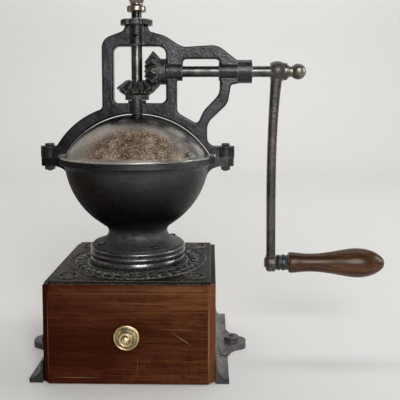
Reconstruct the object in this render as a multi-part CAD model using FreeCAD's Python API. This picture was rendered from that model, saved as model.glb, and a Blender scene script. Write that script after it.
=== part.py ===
import FreeCAD, Part
import math
import os

os.makedirs("parts", exist_ok=True)
V = FreeCAD.Vector

# A counter coffee mill: millimetres, +Z up, -Y to the drawer, +X to the crank.
# The origin is on the counter, under the spindle.

# Wooden box and drawer
box_half = 86.0
box_front = 88.0
box_top = 99.0
wall = 12.0
board = 12.0
front_thick = 14.0
front_low = 1.2
front_bevel = 6.8
front_top_bevel = 7.0
front_bevel_deep = 5.4
side_play = 0.5
drawer_wall = 8.0
drawer_floor = 4.0
drawer_top = 84.0
drawer_back_y = 66.0
knob_z = 53.0
knob_r = 12.5
knob_reach = 21.0
knob_screw_r = 2.0

# Iron base
floor_thick = 5.0
skirt_high = 22.0
skirt_foot = 99.5
skirt_front = -84.0
lug_y = 9.0
lug_tip = 121.0
lug_thick = 7.0
lug_hole_x = 104.5
lug_hole_r = 2.75
lug_boss_r = 8.0
lug_boss_top = 12.0
base_screw_r = 2.0
base_screw_y = 52.0
base_screw_top = 24.0

# Iron top plate and its collar
plate_half = 81.0
plate_top = 102.7
collar_r = 51.6
collar_top = 122.4
chute_r = 42.0
throat_r = 25.0
ring_r = 75.0
ring_high = 1.2
screw_x = 64.5
screw_y = 62.5
screw_r = 3.0
screw_head_r = 7.5
screw_rim_r = 11.0
foot_bolt_r = 2.0
foot_bolt_ring = 43.0
foot_bolt_turn = 31.0
foot_bolt_head_r = 3.2
foot_bolt_head_high = 3.4

# Hopper, turned about the spindle
foot_r = 49.6
foot_thick = 1.2
foot_slope_r = 36.0
foot_slope_top = 128.4
neck_r = 30.0
neck_foot_fillet = 9.0
bowl_centre_r = -8.3
bowl_centre_z = 220.4
bowl_r = 87.9
bowl_wall = 5.0
rim_r = 86.0
rim_top = 218.1
rim_thick = 5.6
seat_r = 78.3
seat_z = 209.0
ear_root = 79.0
ear_tip = 106.4
ear_half = 9.0
ear_low = 208.6
ear_bolt_x = 97.3
web_half = 5.0
ear_bolt_r = 3.0

# Two-part lid, one dome inside the other
dome_z = 172.4
dome_r = 92.8
lid_thick = 1.4
lid_gap = 0.4
lid_lap = 4.0
lip_r = 85.0
lip_low = 218.4
lip_thick = 2.2
notch_r = 9.0
stud_turn = -43.5
stud_rise = 33.5
stud_head_r = 2.6
stud_neck_r = 1.5
stud_reach = 4.6

# Bridge frame over the hopper
frame_half = 6.5
frame_round = 2.2
arch_in = 93.6
arch_out = 106.0
foot_low = 221.2
foot_high = 230.4
pad_root = 81.5
pad_r = 9.8
pad_seat_r = 86.3
bolt_head_half = 4.4
bolt_head_high = 3.0
ear_nut_half = 4.9
ear_nut_thick = 4.4
post_left = -37.8
window_left = -25.4
window_right = 32.1
post_right = 44.0
window_sill = 277.5
window_head = 339.0
shaft_z = 311.8
shaft_r = 6.0
running = 0.05
top_boss_r = 10.0
top_boss = (340.5, 361.8)
low_boss_r = 10.0
low_boss = (265.5, 280.5)
left_boss_r = 10.2
left_boss = (32.6, 50.0)
right_boss_r = 10.0
right_boss = (89.5, 112.0)
end_boss_r = 12.8
end_boss = (109.5, 125.5)
oil_hole_r = 1.6
oil_hole_z = 350.0

# Bevel gears, a pair of equal wheels at right angles
teeth = 12
gear_pitch_r = 20.3
pressure = math.radians(20)
backlash = 0.5
face_share = 0.5
gear_hub_r = 13.0
gear_hub_end = 31.0
pinion_hub_r = 14.2
pinion_hub_end = 32.0
pin_r = 2.0
pin_x = 28.0

# Spindle, burrs, adjusting wheel and finial
spindle_r = 6.0
spindle_low = 117.5
thread_r = 5.3
thread_low = 357.5
thread_top = 392.0
key_half = 2.0
key_in = 3.6
key_out = 8.2
key_span = (283.0, 296.0)
key_play = 3.0
burr_low = 124.0
burr_top = 146.0
burr_gap = 1.0
burr_teeth = 10
cone_low_r = 20.0
cone_top_r = 11.5
burr_nut_r = 8.0
burr_nut_thick = 5.5
wheel_low = 362.1
wheel_thick = 5.4
wheel_r = 17.4
wheel_lobes = 8
scallop_r = 3.4
finial_low = 376.4
finial_top = 403.5

# Crank
shaft_start = 9.5
boss_start = 146.0
boss_end = 160.3
boss_r = 11.3
square_half = 4.5
stud_r = 4.0
washer_r = 9.3
washer_end = 163.9
ball_x = 176.0
ball_r = 8.6
nut_neck_r = 5.8
arm_x = 148.0
arm_half_x = 4.9
arm_half_y = 6.4
handle_z = 100.0
eye_r = 10.2
eye = (142.4, 154.0)
eye_round = 3.4

# Handle
pin_grip_r = 3.5
pin_grip_end = 262.0
rivet_r = 5.5
rivet_high = 1.6
ferrule = (154.4, 167.6)
grip_end = 273.8
collar_grip_r = 11.4
neck_grip_r = 10.2
swell_x = 244.0
swell_r = 16.0


def level(z):
    return lambda u, w: V(u, w, z)


def facing(y):
    return lambda u, w: V(u, y, w)


def sideways(x):
    return lambda u, w: V(x, u, w)


def outline(corners, place):
    """Closed wire of straight runs; a corner (u, w, radius) is rounded."""
    corners = [(*corner, 0)[:3] for corner in corners]
    spans = []
    for i, (u, w, radius) in enumerate(corners):
        here = V(u, w)
        back = (V(*corners[i - 1][:2]) - here).normalize()
        ahead = (V(*corners[(i + 1) % len(corners)][:2]) - here).normalize()
        half = back.getAngle(ahead) / 2
        reach = radius / math.tan(half)
        middle = here + (back + ahead).normalize() * (radius / math.sin(half) - radius) if radius else here
        spans.append((here + back * reach, middle, here + ahead * reach))
    edges = []
    for i, (start, middle, end) in enumerate(spans):
        last = spans[i - 1][2]
        if last.distanceToPoint(start) > 1e-5:
            edges.append(Part.LineSegment(place(last.x, last.y), place(start.x, start.y)).toShape())
        if start.distanceToPoint(end) > 1e-5:
            points = [place(point.x, point.y) for point in (start, middle, end)]
            edges.append(Part.Arc(*points).toShape())
    return Part.Wire(Part.__sortEdges__(edges))


def slab(corners, place, run):
    return Part.Face(outline(corners, place)).extrude(run)


def turned(corners):
    """Solid of revolution about the spindle from (radius, z) corners."""
    return Part.Face(outline(corners, facing(0))).revolve(V(0, 0, 0), V(0, 0, 1), 360)


def turned_across(corners, z):
    """Solid of revolution about a line along X at height z from (x, radius) corners."""
    face = Part.Face(outline(corners, lambda u, w: V(u, 0, z + w)))
    return face.revolve(V(0, 0, z), V(1, 0, 0), 360)


def bar(low, high):
    return Part.makeBox(*(V(*high) - V(*low)), V(*low))


def upright(radius, low, high, x=0, y=0):
    return Part.makeCylinder(radius, high - low, V(x, y, low))


def across(radius, start, end, z):
    return Part.makeCylinder(radius, end - start, V(start, 0, z), V(1, 0, 0))


def joined(*shapes):
    return shapes[0].multiFuse(list(shapes[1:])).removeSplitter()


def arc_corner(centre, radius, first, last):
    """Corner whose rounding is the arc of a circle between two angles in degrees."""
    half = math.radians(last - first) / 2
    middle = math.radians(first + last) / 2
    far = radius / math.cos(half)
    return (centre[0] + far * math.cos(middle), centre[1] + far * math.sin(middle), radius)


def four_corners(x, y):
    return [(side * x, end * y) for side in (-1, 1) for end in (-1, 1)]


def base_casting():
    flare = [(skirt_foot, 0), (skirt_foot, floor_thick, 1), (box_half + 2.5, 6.5, 11)]
    flare += [(box_half + 1.5, skirt_high)]
    mirrored = [(-corner[0], *corner[1:]) for corner in reversed(flare)]
    widths = slab(flare + mirrored, facing(skirt_front), V(0, skirt_foot - skirt_front, 0))
    ends = flare + [(skirt_front, skirt_high), (skirt_front, 0)]
    tray = widths.common(slab(ends, sideways(-skirt_foot), V(2 * skirt_foot, 0, 0)))
    inside = bar((-box_half, skirt_front, floor_thick), (box_half, box_half, skirt_high))
    behind_front = front_thick - box_front + side_play
    step = bar((-box_half, skirt_front, 0), (box_half, behind_front, floor_thick))
    tray = tray.cut(inside.fuse(step))
    pieces = [tray]
    holes = []
    for side in (-1, 1):
        root = side * (box_half + 2)
        waist = side * 106
        tip = side * lug_tip
        shoulder = side * 97
        plan = [(root, -38), (shoulder, -36), (waist, -15, 16), (tip, -8, 9), (tip, 8, 9), (waist, 15, 16)]
        plan += [(shoulder, 36), (root, 38)]
        plan = [(corner[0], corner[1] + lug_y, *corner[2:]) for corner in plan]
        pieces.append(slab(plan, level(0), V(0, 0, lug_thick)))
        pieces.append(upright(lug_boss_r, 0, lug_boss_top, side * lug_hole_x, lug_y))
        holes.append(upright(lug_hole_r, 0, lug_boss_top, side * lug_hole_x, lug_y))
    for x, y in four_corners(box_half - wall / 2, base_screw_y):
        holes.append(upright(base_screw_r, 0, floor_thick, x, y))
    solid = joined(*pieces)
    return solid.cut(Part.makeCompound(holes))


def base_screws():
    screws = []
    for x, y in four_corners(box_half - wall / 2, base_screw_y):
        screws.append(upright(base_screw_r, 0.5, base_screw_top, x, y))
    return Part.makeCompound(screws)


def side_wall(side):
    inner = side * (box_half - wall)
    outer = side * box_half
    front = front_thick - box_front
    panel = bar((min(inner, outer), front, floor_thick), (max(inner, outer), box_half, box_top))
    x = side * (box_half - wall / 2)
    holes = [upright(base_screw_r, floor_thick, base_screw_top, x, y) for y in (-base_screw_y, base_screw_y)]
    return panel.cut(Part.makeCompound(holes))


def box_left_wall():
    return side_wall(-1)


def box_right_wall():
    return side_wall(1)


def box_back_wall():
    inner = box_half - wall
    return bar((-inner, inner, floor_thick), (inner, box_half, box_top))


def box_top_board():
    inner = box_half - wall
    panel = bar((-inner, front_thick - box_front, box_top - board), (inner, inner, box_top))
    panel = panel.cut(upright(chute_r, box_top - board, box_top))
    holes = [upright(screw_r, box_top - board, box_top, x, y) for x, y in four_corners(screw_x, screw_y)]
    return panel.cut(Part.makeCompound(holes))


def drawer_front():
    half = box_half - side_play
    front = -box_front
    back = front + front_thick
    shoulder = front + front_bevel_deep
    face_half = half - front_bevel
    face_top = box_top - front_top_bevel
    outer = [(-half, front_low), (half, front_low), (half, box_top), (-half, box_top)]
    inset = [(-face_half, front_low), (face_half, front_low), (face_half, face_top), (-face_half, face_top)]
    raised = Part.makeLoft([outline(outer, facing(shoulder)), outline(inset, facing(front))], True, True)
    body = slab(outer, facing(shoulder), V(0, back - shoulder, 0))
    panel = joined(body, raised)
    return panel.cut(Part.makeCylinder(knob_screw_r, front_thick, V(0, front, knob_z), V(0, 1, 0)))


def drawer_side(side):
    outer = side * (box_half - wall - 1.0)
    inner = outer - side * drawer_wall
    low = floor_thick + 0.5
    front = front_thick - box_front
    return bar((min(inner, outer), front, low), (max(inner, outer), drawer_back_y, drawer_top))


def drawer_left_side():
    return drawer_side(-1)


def drawer_right_side():
    return drawer_side(1)


def drawer_inner_half():
    return box_half - wall - 1.0 - drawer_wall


def drawer_back():
    half = drawer_inner_half()
    return bar((-half, drawer_back_y - drawer_wall, floor_thick + 0.5), (half, drawer_back_y, drawer_top))


def drawer_bottom():
    half = drawer_inner_half()
    low = floor_thick + 0.5
    front = front_thick - box_front
    return bar((-half, front, low), (half, drawer_back_y - drawer_wall, low + drawer_floor))


def knob_turn(corners):
    """Solid of revolution about the drawer knob's axis from (reach, radius) corners."""
    face = Part.Face(outline(corners, lambda u, w: V(w, -box_front - u, knob_z)))
    return face.revolve(V(0, 0, knob_z), V(0, 1, 0), 360)


def drawer_knob():
    profile = [(0, 0), (0, 7.5), (1.6, 7.5, 0.6), (3.0, 4.8, 1.5), (8.5, 5.2, 3), (10.5, knob_r, 1)]
    profile += [(13.5, knob_r, 1.2), (16.0, knob_r - 4.5, 5), (knob_reach - 2.4, 6.0, 0.8)]
    profile += [(knob_reach - 1.4, 3.6), (knob_reach, 2.0, 1.2), (knob_reach, 0)]
    hole = Part.makeCylinder(knob_screw_r, 8, V(0, -box_front - 8, knob_z), V(0, 1, 0))
    return knob_turn(profile).cut(hole)


def knob_screw():
    shank = Part.makeCylinder(knob_screw_r, front_thick + 8, V(0, -box_front - 8, knob_z), V(0, 1, 0))
    head = Part.makeCylinder(4, 2.4, V(0, front_thick - box_front, knob_z), V(0, 1, 0))
    return joined(shank, head)


def bolt_places():
    for step in range(4):
        turn = math.radians(foot_bolt_turn + 90 * step)
        yield foot_bolt_ring * math.cos(turn), foot_bolt_ring * math.sin(turn)


def top_plate():
    half = plate_half
    plan = [(-half, -half, 3), (half, -half, 3), (half, half, 3), (-half, half, 3)]
    plate = slab(plan, level(box_top), V(0, 0, plate_top - box_top))
    groove = 0.9
    collar = [(throat_r + 1, plate_top - 1), (collar_r, plate_top - 1), (collar_r, 111.4)]
    for low in (111.4, 116.8):
        collar += [(collar_r - groove, low + 0.3), (collar_r - groove, low + 1.0)]
        collar += [(collar_r - 0.3, low + 1.3)]
    collar += [(collar_r - 0.6, collar_top, 0.8), (throat_r + 1, collar_top)]
    bead = [(ring_r - 1.1, plate_top - 1), (ring_r + 1.1, plate_top - 1)]
    bead += [(ring_r + 0.6, plate_top + ring_high), (ring_r - 0.6, plate_top + ring_high)]
    pieces = [plate, turned(collar), turned(bead)]
    holes = [upright(chute_r, box_top, collar_top - 5), upright(throat_r + 1, box_top, collar_top)]
    for x, y in four_corners(screw_x, screw_y):
        pieces.append(upright(screw_rim_r, plate_top - 1, plate_top + 1, x, y))
        holes.append(upright(screw_head_r + 1, plate_top - 1.6, plate_top + 1, x, y))
        holes.append(upright(screw_r, box_top, plate_top, x, y))
    for x, y in bolt_places():
        holes.append(upright(foot_bolt_r, collar_top - 5, collar_top, x, y))
    return joined(*pieces).cut(Part.makeCompound(holes))


def corner_screws():
    screws = []
    seat = plate_top - 1.6
    for x, y in four_corners(screw_x, screw_y):
        shank = upright(screw_r, box_top - board, seat, x, y)
        head = Part.makeCone(screw_head_r, screw_head_r - 1.8, 2.2, V(x, y, seat))
        slot = bar((x - 0.9, y - screw_head_r, seat + 1.2), (x + 0.9, y + screw_head_r, seat + 3))
        slot.rotate(V(x, y, 0), V(0, 0, 1), 37 + x)
        screws.append(joined(shank, head).cut(slot))
    return Part.makeCompound(screws)


def tongue(side, root, tip, half):
    """Plan of a tongue along X with a round end."""
    bend = half - 0.5
    return [(side * root, -half), (side * tip, -half, bend), (side * tip, half, bend), (side * root, half)]


def hopper_bowl():
    centre = (bowl_centre_r, bowl_centre_z)
    outside = arc_corner(centre, bowl_r, -55.3, -12.5)
    inside = arc_corner(centre, bowl_r - bowl_wall, -55.3, -12.5)
    foot_top = collar_top + foot_thick
    profile = [(throat_r, collar_top), (foot_r, collar_top), (foot_r, foot_top, 0.6)]
    profile += [(foot_slope_r, foot_slope_top, neck_foot_fillet), (neck_r, 138.8, 8), outside]
    profile += [(78.9, 207.5, 3), (81.5, rim_top - rim_thick - 1, 2), (rim_r, rim_top - rim_thick, 1.2)]
    profile += [(rim_r, rim_top, 0.8), (seat_r, rim_top), (seat_r, seat_z), (73.4, seat_z, 1.5)]
    profile += [inside, (throat_r, 142.8)]
    pieces = [turned(profile)]
    holes = []
    for side in (-1, 1):
        plan = tongue(side, ear_root, ear_tip, ear_half)
        pieces.append(slab(plan, level(ear_low), V(0, 0, rim_top - ear_low)))
        web = [(side * 73.6, 190), (side * 74.4, 191), (side * 79, ear_low - 4, 14)]
        web += [(side * 92, ear_low + 0.2), (side * 76.4, ear_low + 0.2)]
        pieces.append(slab(web, facing(-web_half), V(0, 2 * web_half, 0)))
        holes.append(upright(ear_bolt_r, ear_low, rim_top, side * ear_bolt_x))
    for x, y in bolt_places():
        holes.append(upright(foot_bolt_r, collar_top, foot_top, x, y))
        holes.append(upright(foot_bolt_head_r + 1.2, foot_top, foot_top + 9, x, y))
    return joined(*pieces).cut(Part.makeCompound(holes))


def hopper_bolts():
    bolts = []
    seat = collar_top + foot_thick
    for x, y in bolt_places():
        shank = upright(foot_bolt_r, collar_top - 5, seat, x, y)
        bolts.append(joined(shank, upright(foot_bolt_head_r, seat, seat + foot_bolt_head_high, x, y)))
    return Part.makeCompound(bolts)


def dome(outer_r, inner_r, low):
    """Thin cap of a sphere about the dome centre, open underneath and at the spindle."""
    centre = V(0, 0, dome_z)
    shell = Part.makeSphere(outer_r, centre).cut(Part.makeSphere(inner_r, centre))
    keep = upright(100, low, dome_z + outer_r + 1).cut(upright(notch_r, low, dome_z + outer_r + 1))
    return shell.common(keep)


def lid_front():
    low = lip_low
    shell = dome(dome_r, dome_r - lid_thick, low)
    foot_in = math.sqrt((dome_r - lid_thick) ** 2 - (low - dome_z) ** 2)
    lip = [(foot_in, low), (lip_r, low, 0.6), (lip_r, low + lip_thick, 0.6), (foot_in, low + lip_thick)]
    whole = joined(shell, turned(lip))
    keep = Part.makeCylinder(110, 120, V(0, 0, 200), V(0, 0, 1), 180 + 2 * lid_lap)
    keep.rotate(V(0, 0, 0), V(0, 0, 1), 180 - lid_lap)
    return whole.common(keep).cut(lid_stud_rod(1.6))


def lid_rear():
    outer = dome_r - lid_thick - lid_gap
    low = seat_z
    shell = dome(outer, outer - lid_thick, lip_low)
    skirt_top = lip_low + 0.5
    skirt_in = math.sqrt((outer - lid_thick) ** 2 - (skirt_top - dome_z) ** 2)
    skirt = [(skirt_in, low), (seat_r, low), (seat_r, lip_low), (seat_r - 0.6, skirt_top)]
    skirt += [(skirt_in, skirt_top)]
    whole = joined(shell, turned(skirt))
    keep = Part.makeCylinder(110, 120, V(0, 0, 200), V(0, 0, 1), 180)
    return whole.common(keep)


def lid_stud_frame():
    """Foot and direction of the stud, square to the dome."""
    rise = math.radians(stud_rise)
    turn = math.radians(stud_turn)
    out = V(math.cos(rise) * math.cos(turn), math.cos(rise) * math.sin(turn), math.sin(rise))
    return V(0, 0, dome_z) + out * dome_r, out


def lid_stud_rod(radius):
    foot, out = lid_stud_frame()
    return Part.makeCylinder(radius, lid_thick + 1, foot - out * (lid_thick + 0.5), out)


def lid_stud():
    foot, out = lid_stud_frame()
    neck = Part.makeCylinder(stud_neck_r, stud_reach, foot + out * 0.2, out)
    tail = Part.makeCylinder(1.6, lid_thick + 0.2, foot - out * lid_thick, out)
    head = Part.makeSphere(stud_head_r, foot + out * stud_reach)
    return joined(tail, neck, head)


def ring_burr():
    low = burr_low - 1.4
    slope = (cone_low_r - cone_top_r) / (burr_top - burr_low)
    inner_low = cone_low_r + slope * (burr_low - low) + burr_gap
    ring = [(inner_low, low), (throat_r, low), (throat_r, burr_top, 1), (cone_top_r + burr_gap, burr_top)]
    body = turned(ring)
    grooves = []
    for tooth in range(burr_teeth):
        groove = bar((0, -1.2, low - 1), (cone_low_r + 2.4, 1.2, burr_top - 5))
        grooves.append(groove.rotated(V(0, 0, 0), V(0, 0, 1), tooth * 360 / burr_teeth))
    return body.cut(Part.makeCompound(grooves))


def cone_burr():
    cone = [(spindle_r, burr_low), (cone_low_r, burr_low), (cone_top_r, burr_top, 1), (spindle_r, burr_top)]
    body = turned(cone)
    grooves = []
    for tooth in range(burr_teeth):
        groove = bar((cone_low_r - 5.5, -1.0, burr_low), (cone_low_r, 1.0, burr_top))
        groove.rotate(V(cone_low_r - 3, 0, burr_low), V(1, 0, 0), 18)
        grooves.append(groove.rotated(V(0, 0, 0), V(0, 0, 1), (tooth + 0.5) * 360 / burr_teeth))
    return body.cut(Part.makeCompound(grooves))


def bridge_plate():
    """Flat casting with the arch, two posts, two windows and the strut to the shaft end."""
    centre = (0, dome_z)
    left = arc_corner(centre, arch_out, 110.9, 146.2)
    foot_x = math.sqrt(arch_out ** 2 - (foot_high - dome_z) ** 2)
    post_z = dome_z + math.sqrt(arch_out ** 2 - post_left ** 2)
    corners = [(-ear_bolt_x, foot_low), (-ear_bolt_x, foot_high), (-foot_x, foot_high, 5)]
    corners += [(left[0], left[1], 0.86 * arch_out), (post_left, post_z, 5), (post_left, 347.0, 14)]
    corners += [(-14, 355.6, 6), (-12, top_boss[1]), (12, top_boss[1]), (14, 355.2, 5)]
    corners += [(31, 350.5, 26), (50, 338.2, 16)]
    corners += [(88, 340.6, 20), (112, 322), (112, 299), (103, 297.5, 4), (99.4, 277, 16), (77.0, 255.5, 16)]
    corners += [(77.2, foot_high, 9), (ear_bolt_x, foot_high), (ear_bolt_x, foot_low)]
    depth = V(0, 2 * frame_half, 0)
    plate = slab(corners, facing(-frame_half), depth)
    first = [(window_left, window_sill, 5), (window_left, window_head, 7), (window_right, window_head, 9)]
    first += [(window_right, window_sill, 6)]
    boss_face = left_boss[1] + 0.4
    second = [(post_right, 267.3, 8), (post_right, 305), (boss_face, 305), (boss_face, 325.3, 4)]
    second += [(90.6, 325.3, 5), (90.6, 287.5, 16), (73.2, 269.5, 20), (66.2, 254.6, 4)]
    for window in (first, second):
        plate = plate.cut(slab(window, facing(-frame_half), depth))
    arch = Part.makeCylinder(arch_in, 2 * frame_half, V(0, -frame_half, dome_z), V(0, 1, 0))
    plate = plate.cut(arch)
    rims = [edge for edge in plate.Edges if abs(abs(edge.CenterOfMass.y) - frame_half) < 1e-4]
    return plate.makeFillet(frame_round, rims)


def bridge_frame():
    pieces = [bridge_plate()]
    pieces.append(upright(top_boss_r, *top_boss))
    pieces.append(upright(low_boss_r, *low_boss))
    pieces.append(across(left_boss_r, *left_boss, shaft_z))
    pieces.append(across(right_boss_r, *right_boss, shaft_z))
    pieces.append(across(end_boss_r, *end_boss, shaft_z))
    for side in (-1, 1):
        rise = V(0, 0, foot_high - rim_top)
        pad = slab(tongue(side, pad_root, ear_bolt_x, frame_half), level(rim_top), rise)
        pad = joined(pad, upright(pad_r, rim_top, foot_high, side * ear_bolt_x))
        pieces.append(pad.cut(upright(pad_seat_r, rim_top, foot_low)))
    frame = joined(*pieces)
    holes = [upright(spindle_r + running, low_boss[0] - 2, top_boss[1])]
    holes.append(across(shaft_r + running, left_boss[0] - 2, end_boss[1], shaft_z))
    holes.append(Part.makeCylinder(oil_hole_r, 12, V(0, -12, oil_hole_z), V(0, 1, 0)))
    for side in (-1, 1):
        holes.append(upright(ear_bolt_r, rim_top, foot_high, side * ear_bolt_x))
    return frame.cut(Part.makeCompound(holes))


def bridge_bolts():
    bolts = []
    half = bolt_head_half
    for side in (-1, 1):
        x = side * ear_bolt_x
        shank = upright(ear_bolt_r, ear_low - ear_nut_thick - 1.2, foot_high, x)
        head = bar((x - half, -half, foot_high), (x + half, half, foot_high + bolt_head_high))
        bolts.append(joined(shank, head))
    return Part.makeCompound(bolts)


def bridge_nuts():
    nuts = []
    half = ear_nut_half
    for side in (-1, 1):
        x = side * ear_bolt_x
        block = bar((x - half, -half, ear_low - ear_nut_thick), (x + half, half, ear_low))
        nuts.append(block.cut(upright(ear_bolt_r, ear_low - ear_nut_thick, ear_low, x)))
    return Part.makeCompound(nuts)


def bevel_tooth(cone):
    """One tooth along local +X of a gear whose axis is -Z and whose apex is the origin."""
    module = 2 * gear_pitch_r / teeth
    base = cone * math.cos(pressure)
    half_tooth = (math.pi * module / 2 - backlash) / 2 / cone
    start = math.tan(pressure) - pressure

    def flank(radius, side):
        angle = math.acos(min(1, base / radius))
        turn = side * (half_tooth + start - math.tan(angle) + angle)
        out = radius * math.cos(turn)
        return V(out / math.sqrt(2), radius * math.sin(turn), out / math.sqrt(2) - math.sqrt(2) * cone)

    radii = (cone - 1.45 * module, base, cone, cone + module)
    right = [flank(radius, 1) for radius in radii]
    left = [flank(radius, -1) for radius in radii]
    edges = [Part.LineSegment(right[0], right[1]).toShape(), Part.Arc(*right[1:]).toShape()]
    edges += [Part.LineSegment(right[3], left[3]).toShape(), Part.Arc(*reversed(left[1:])).toShape()]
    edges += [Part.LineSegment(left[1], left[0]).toShape(), Part.LineSegment(left[0], right[0]).toShape()]
    large = Part.Wire(edges)
    small = large.copy()
    small.scale(face_share, V(0, 0, 0))
    return Part.makeLoft([large, small], True, True)


def bevel_gear(hub_r, hub_end, bore):
    """Straight bevel gear below its apex, axis along Z, with a tooth along +X."""
    cone = gear_pitch_r * math.sqrt(2)
    module = 2 * gear_pitch_r / teeth
    root = (cone - 1.2 * module) / math.sqrt(2)
    root_z = (-cone - 1.2 * module) / math.sqrt(2)
    body = [(bore, -hub_end), (hub_r, -hub_end, 0.8), (hub_r, root_z - 3), (root, root_z)]
    body += [(root * face_share, root_z * face_share), (bore, root_z * face_share)]
    blank = turned(body)
    tooth = bevel_tooth(cone)
    ring = [tooth.rotated(V(0, 0, 0), V(0, 0, 1), step * 360 / teeth) for step in range(teeth)]
    return joined(blank, *ring)


def spindle_gear():
    gear = bevel_gear(gear_hub_r, gear_hub_end, spindle_r + running)
    gear.rotate(V(0, 0, 0), V(0, 0, 1), 180 / teeth)
    gear.translate(V(0, 0, shaft_z))
    keyway = bar((-key_out, -key_half, shaft_z - gear_hub_end), (0, key_half, key_span[1]))
    return gear.cut(keyway)


def gear_key():
    return bar((-key_out, -key_half, key_span[0]), (-key_in, key_half, key_span[1]))


def spindle():
    shank = upright(spindle_r, spindle_low, thread_low)
    stud = upright(thread_r, thread_low, thread_top)
    slot_half = key_half + running
    low, high = key_span[0] - key_play, key_span[1] + key_play
    slot = bar((-spindle_r, -slot_half, low), (-key_in + running, slot_half, high))
    return joined(shank, stud).cut(slot)


def burr_nut():
    low = burr_low - burr_nut_thick
    turns = [math.radians(60 * side) for side in range(7)]
    corners = [V(burr_nut_r * math.cos(turn), burr_nut_r * math.sin(turn), low) for turn in turns]
    block = Part.Face(Part.makePolygon(corners)).extrude(V(0, 0, burr_nut_thick))
    return block.cut(upright(spindle_r, low, burr_low))


def adjusting_wheel():
    disc = upright(wheel_r, wheel_low, wheel_low + wheel_thick)
    cuts = [upright(thread_r + running, wheel_low, wheel_low + wheel_thick)]
    for lobe in range(wheel_lobes):
        turn = math.radians((lobe + 0.5) * 360 / wheel_lobes)
        reach = wheel_r + 1.4
        x, y = reach * math.cos(turn), reach * math.sin(turn)
        cuts.append(upright(scallop_r, wheel_low, wheel_low + wheel_thick, x, y))
    return disc.cut(Part.makeCompound(cuts))


def finial():
    low = finial_low
    profile = [(thread_r, low), (10.3, low, 1), (10.3, low + 5.8, 2), (6.6, low + 7, 1.2)]
    profile += [(6.6, low + 9, 1.5), (9.2, low + 14.5, 5), (8.2, low + 21.5, 5), (3.0, low + 24.4, 1.5)]
    profile += [(1.8, finial_top, 0.8), (0, finial_top), (0, thread_top), (thread_r, thread_top)]
    return turned(profile)


def crank_shaft():
    shank = across(shaft_r, shaft_start, boss_start, shaft_z)
    half = square_half
    square = bar((boss_start, -half, shaft_z - half), (boss_end, half, shaft_z + half))
    stud = across(stud_r, boss_end, ball_x, shaft_z)
    pin_hole = Part.makeCylinder(pin_r, 4 * shaft_r, V(pin_x, -2 * shaft_r, shaft_z), V(0, 1, 0))
    return joined(shank, square, stud).cut(pin_hole)


def drive_pinion():
    gear = bevel_gear(pinion_hub_r, pinion_hub_end, shaft_r)
    gear.rotate(V(0, 0, 0), V(0, 1, 0), -90)
    gear.translate(V(0, 0, shaft_z))
    return gear.cut(pinion_pin())


def pinion_pin():
    return Part.makeCylinder(pin_r, 2 * pinion_hub_r - 1, V(pin_x, 0.5 - pinion_hub_r, shaft_z), V(0, 1, 0))


def arm_section(x, z, half_x, half_y):
    """Rounded bar section at height z."""
    corner = 0.75 * min(half_x, half_y)
    corners = [(x - half_x, -half_y, corner), (x + half_x, -half_y, corner), (x + half_x, half_y, corner)]
    corners += [(x - half_x, half_y, corner)]
    return outline(corners, level(z))


def crank_arm():
    stations = [(arm_x + 5.1, shaft_z, 1.6), (arm_x + 2.4, 278, 0.4), (arm_x, 218, 0), (arm_x - 0.3, 160, 0)]
    stations += [(arm_x, handle_z, 0)]
    sections = [arm_section(x, z, arm_half_x + extra, arm_half_y + extra) for x, z, extra in stations]
    bar_solid = Part.makeLoft(sections, True)
    barrel = [(boss_start, 0), (boss_start, boss_r - 1.6, 0), ((boss_start + boss_end) / 2, boss_r + 0.6, 12)]
    barrel += [(boss_end, boss_r - 1.6), (boss_end, 0)]
    ring = [(eye[0], 0), (eye[0], eye_r, eye_round), (eye[1], eye_r, eye_round), (eye[1], 0)]
    arm = joined(bar_solid, turned_across(barrel, shaft_z), turned_across(ring, handle_z))
    half = square_half
    square = bar((boss_start, -half, shaft_z - half), (boss_end, half, shaft_z + half))
    return arm.cut(square).cut(across(pin_grip_r, eye[0], eye[1], handle_z))


def crank_washer():
    ring = [(boss_end, stud_r), (boss_end, washer_r, 0.6), (washer_end, washer_r, 0.6), (washer_end, stud_r)]
    return turned_across(ring, shaft_z)


def crank_nut():
    neck = [(washer_end, 0), (washer_end, nut_neck_r + 1.4, 0.5), (washer_end + 1.6, nut_neck_r + 1.4, 0.5)]
    neck += [(washer_end + 2.4, nut_neck_r), (ball_x - 3, nut_neck_r), (ball_x - 3, 0)]
    ball = Part.makeSphere(ball_r, V(ball_x, 0, shaft_z))
    nut = joined(turned_across(neck, shaft_z), ball)
    return nut.cut(across(stud_r, washer_end, ball_x, shaft_z))


def handle_pin():
    shank = across(pin_grip_r, eye[0], pin_grip_end, handle_z)
    tip = eye[0] - rivet_high
    rivet = turned_across([(tip, 0), (tip, rivet_r, 1.4), (eye[0], rivet_r), (eye[0], 0)], handle_z)
    return joined(shank, rivet)


def handle_ferrule():
    start, end = ferrule
    bore = pin_grip_r + running
    profile = [(start, bore), (start, 8.0, 0.6), (start + 3, 8.8, 0.6), (start + 4, 7.8), (start + 5, 7.8)]
    profile += [(start + 6, 8.8, 0.6), (start + 9, 8.8, 0.6), (start + 10, 7.8), (end, 8.6), (end, bore)]
    return turned_across(profile, handle_z)


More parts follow.
